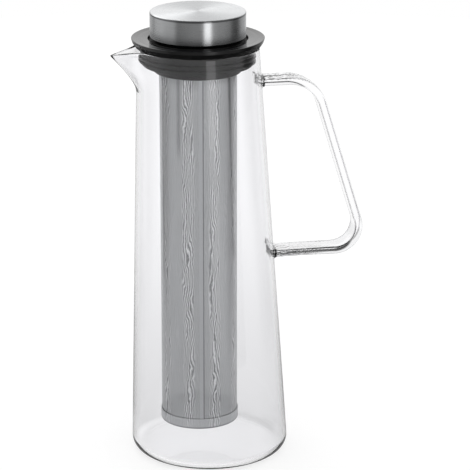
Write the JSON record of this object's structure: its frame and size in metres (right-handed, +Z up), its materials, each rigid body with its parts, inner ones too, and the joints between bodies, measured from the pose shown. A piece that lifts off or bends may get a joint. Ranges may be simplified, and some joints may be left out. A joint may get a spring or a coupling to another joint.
{
  "type": "glass carafe with filter",
  "caption": "Tall tapered glass carafe with pouring lip and strap handle, a steel-capped plug lid and a mesh filter tube that hangs from the lid.",
  "frame": {"origin": "centre of the round flat face that the carafe stands on", "axes": "+Z up, +X towards the handle, -X towards the pouring lip"},
  "size_m": [0.1644, 0.1016, 0.2925],
  "materials": {
    "clear_glass": "clear blown glass, fire polished",
    "brushed_cap": "spun brushed top, sides brushed round",
    "screw_steel": "plain stainless steel",
    "black_plastic": "semi-gloss black",
    "smoked_plastic": "semi-gloss dark grey",
    "silicone": "satin dark grey silicone",
    "filter_steel": "satin stainless steel",
    "mesh_steel": "fine woven stainless mesh"
  },
  "bodies": {
    "carafe": {"glass_body": "clear_glass", "glass_handle": "clear_glass"},
    "lid": {"steel_cap": "brushed_cap", "cap_core": "black_plastic", "centre_screw": "screw_steel", "lid_body": "black_plastic", "lip_seal": "silicone", "plug_base": "smoked_plastic", "filter_o_ring": "silicone"},
    "filter": {"filter_collar": "filter_steel", "mesh_tube": "mesh_steel", "seam_strip": "filter_steel", "bottom_cup": "filter_steel"}
  },
  "joints": [
    {"name": "lid_lift", "type": "slide", "parent": "carafe", "child": "lid", "axis": [0, 0, 1], "range_m": [0, 0.26]},
    {"name": "filter_pull", "type": "slide", "parent": "lid", "child": "filter", "axis": [0, 0, -1], "range_m": [0, 0.012]}
  ]
}
